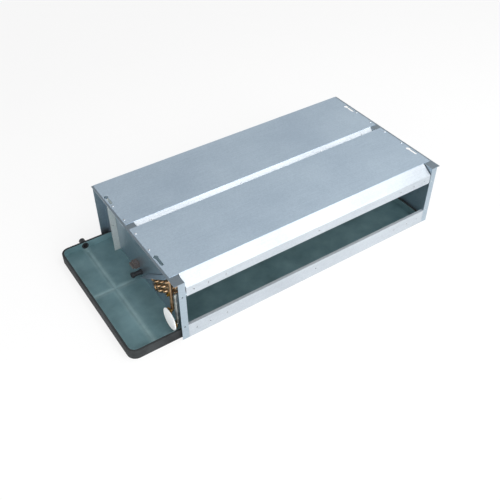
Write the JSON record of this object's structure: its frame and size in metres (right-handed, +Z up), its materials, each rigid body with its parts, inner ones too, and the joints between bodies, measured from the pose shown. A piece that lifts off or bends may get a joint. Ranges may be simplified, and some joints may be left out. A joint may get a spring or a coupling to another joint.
{
  "type": "concealed ducted fan coil unit",
  "caption": "Ceiling fan coil unit: leaning finned water coil over a drain pan that reaches past one end, and twin double-inlet blowers on one motor in a sheet steel plenum.",
  "frame": {"origin": "centre of the whole object's box on plan, at the level of its underside", "axes": "+X along the casing from the pan's end to the plain end, +Y from the outlet to the return air inlet, +Z up"},
  "size_m": [1.214, 0.578, 0.242],
  "materials": {
    "galvanised": "galvanised sheet steel, fine spangle, satin",
    "galvanised_dark": "galvanised sheet steel, dull",
    "foam": "black closed cell foam, matt",
    "fin": "thin aluminium fin stock",
    "copper": "drawn copper tube",
    "tinned": "tinned copper tube, dull",
    "brass": "turned brass",
    "white_plastic": "white polyethylene",
    "pan_paint": "grey-green coated steel",
    "black_plastic": "black moulded polyamide",
    "block_plastic": "grey-brown moulded polyamide",
    "blower": "galvanised blower sheet",
    "zinc": "bright zinc plated steel",
    "shaft_steel": "ground steel",
    "motor_paint": "dark grey motor enamel",
    "bronze": "sintered bronze",
    "capacitor_case": "off-white moulded case",
    "filter_bar": "extruded aluminium",
    "mesh": "dark woven nylon"
  },
  "bodies": {
    "casing": {"side_plate_left": "galvanised", "side_plate_right": "galvanised", "front_top_panel": "galvanised", "rear_top_panel": "galvanised", "outlet_sill": "galvanised", "fan_deck": "galvanised_dark", "plenum_bottom_panel": "galvanised_dark", "stiffener_left": "galvanised", "stiffener_right": "galvanised", "top_insulation": "foam", "coil_baffle": "galvanised_dark", "coil_fins": "fin", "coil_end_plate_left": "galvanised", "coil_end_plate_right": "galvanised", "coil_tubes": "copper", "return_bends": "copper", "supply_pipe": "tinned", "return_pipe": "copper", "supply_socket": "brass", "return_socket": "brass", "vent_valve": "brass", "drain_pan": "pan_paint", "pan_insulation": "foam", "drain_spigot": "black_plastic", "spigot_nut": "black_plastic", "fan_housing_left": "blower", "fan_housing_right": "blower", "motor_housing": "motor_paint", "motor_bearings": "bronze", "motor_rubber_rings": "foam", "motor_bracket": "galvanised_dark", "motor_straps": "zinc", "run_capacitor": "capacitor_case", "filter_rail_top": "galvanised_dark", "filter_rail_bottom": "galvanised_dark", "cable_gland": "black_plastic", "gland_nut": "black_plastic", "terminal_block": "block_plastic", "terminal_screws": "brass", "top_panel_screws": "zinc", "groove_screws": "zinc"},
    "rotor": {"motor_shaft": "shaft_steel", "fan_wheel_left": "blower", "fan_wheel_right": "blower"},
    "filter": {"filter_frame": "filter_bar", "filter_mesh": "mesh", "filter_pull": "black_plastic"},
    "vent_key": {"vent_screw": "shaft_steel"},
    "cap": {"connection_cap": "white_plastic"}
  },
  "joints": [
    {"name": "blower_spin", "type": "hinge", "parent": "casing", "child": "rotor", "pos_m": [0.079, 0.1255, 0.10001], "axis": [1, 0, 0], "continuous": true},
    {"name": "filter_slide", "type": "slide", "parent": "casing", "child": "filter", "axis": [1, 0, 0], "range_m": [0, 0.95]},
    {"name": "vent_turn", "type": "hinge", "parent": "casing", "child": "vent_key", "pos_m": [-0.448, -0.22507, 0.149], "axis": [1, 0, 0], "range_deg": [0, 720]},
    {"name": "cap_pull", "type": "slide", "parent": "casing", "child": "cap", "axis": [-1, 0, 0], "range_m": [0, 0.08]}
  ]
}
